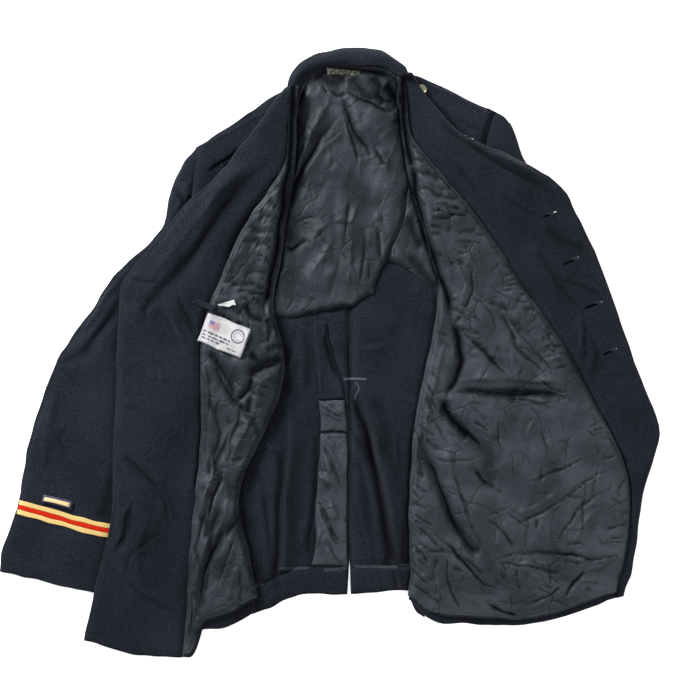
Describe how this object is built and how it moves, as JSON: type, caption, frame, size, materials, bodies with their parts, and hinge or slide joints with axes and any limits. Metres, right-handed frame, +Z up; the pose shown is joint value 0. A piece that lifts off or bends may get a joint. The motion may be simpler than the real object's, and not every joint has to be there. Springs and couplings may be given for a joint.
{
  "type": "military dress tunic",
  "caption": "Navy wool military dress tunic lying on its back, opened out to show its lining: stand collar, shoulder straps, braided cuffs, back vent.",
  "frame": {"origin": "middle of the bounding box at the surface the tunic lies on", "axes": "+Z up from that surface, +Y from the hem to the collar, +X across, towards the wearer's left sleeve"},
  "size_m": [0.9378, 0.8644, 0.0359],
  "materials": {
    "wool": "heavy navy wool, matt, with a fine twill",
    "satin": "charcoal lining satin with a soft sheen",
    "gold": "gold-yellow braid",
    "scarlet": "scarlet braid",
    "button_metal": "worn gilt metal",
    "label": "off-white woven label",
    "woven_label": "dark woven neck label"
  },
  "bodies": {
    "root": {"back_left": "wool", "back_lining_left": "satin", "back_lining_right": "satin", "back_right": "wool", "bar_patch": "wool", "collar": "wool", "cuff_braid_left_1": "gold", "cuff_braid_left_2": "scarlet", "cuff_braid_left_3": "gold", "cuff_braid_right_1": "gold", "cuff_braid_right_2": "scarlet", "cuff_braid_right_3": "gold", "facing_left": "wool", "facing_right": "wool", "front_button_1": "button_metal", "front_button_2": "button_metal", "front_button_3": "button_metal", "front_button_4": "button_metal", "front_left": "wool", "front_lining_left": "satin", "front_lining_right": "satin", "front_right": "wool", "hem_turn_left": "wool", "hem_turn_right": "wool", "inside_label": "label", "neck_label": "woven_label", "pocket_welt": "wool", "service_bar": "gold", "shoulder_strap_left": "wool", "shoulder_strap_right": "wool", "size_tag": "label", "strap_button_left": "button_metal", "strap_button_right": "button_metal", "top_sleeve_left": "wool", "top_sleeve_right": "wool", "under_sleeve_left": "wool", "under_sleeve_right": "wool", "vent_facing": "satin", "vent_facing_top": "satin", "vent_underlap": "wool"}
  },
  "joints": []
}
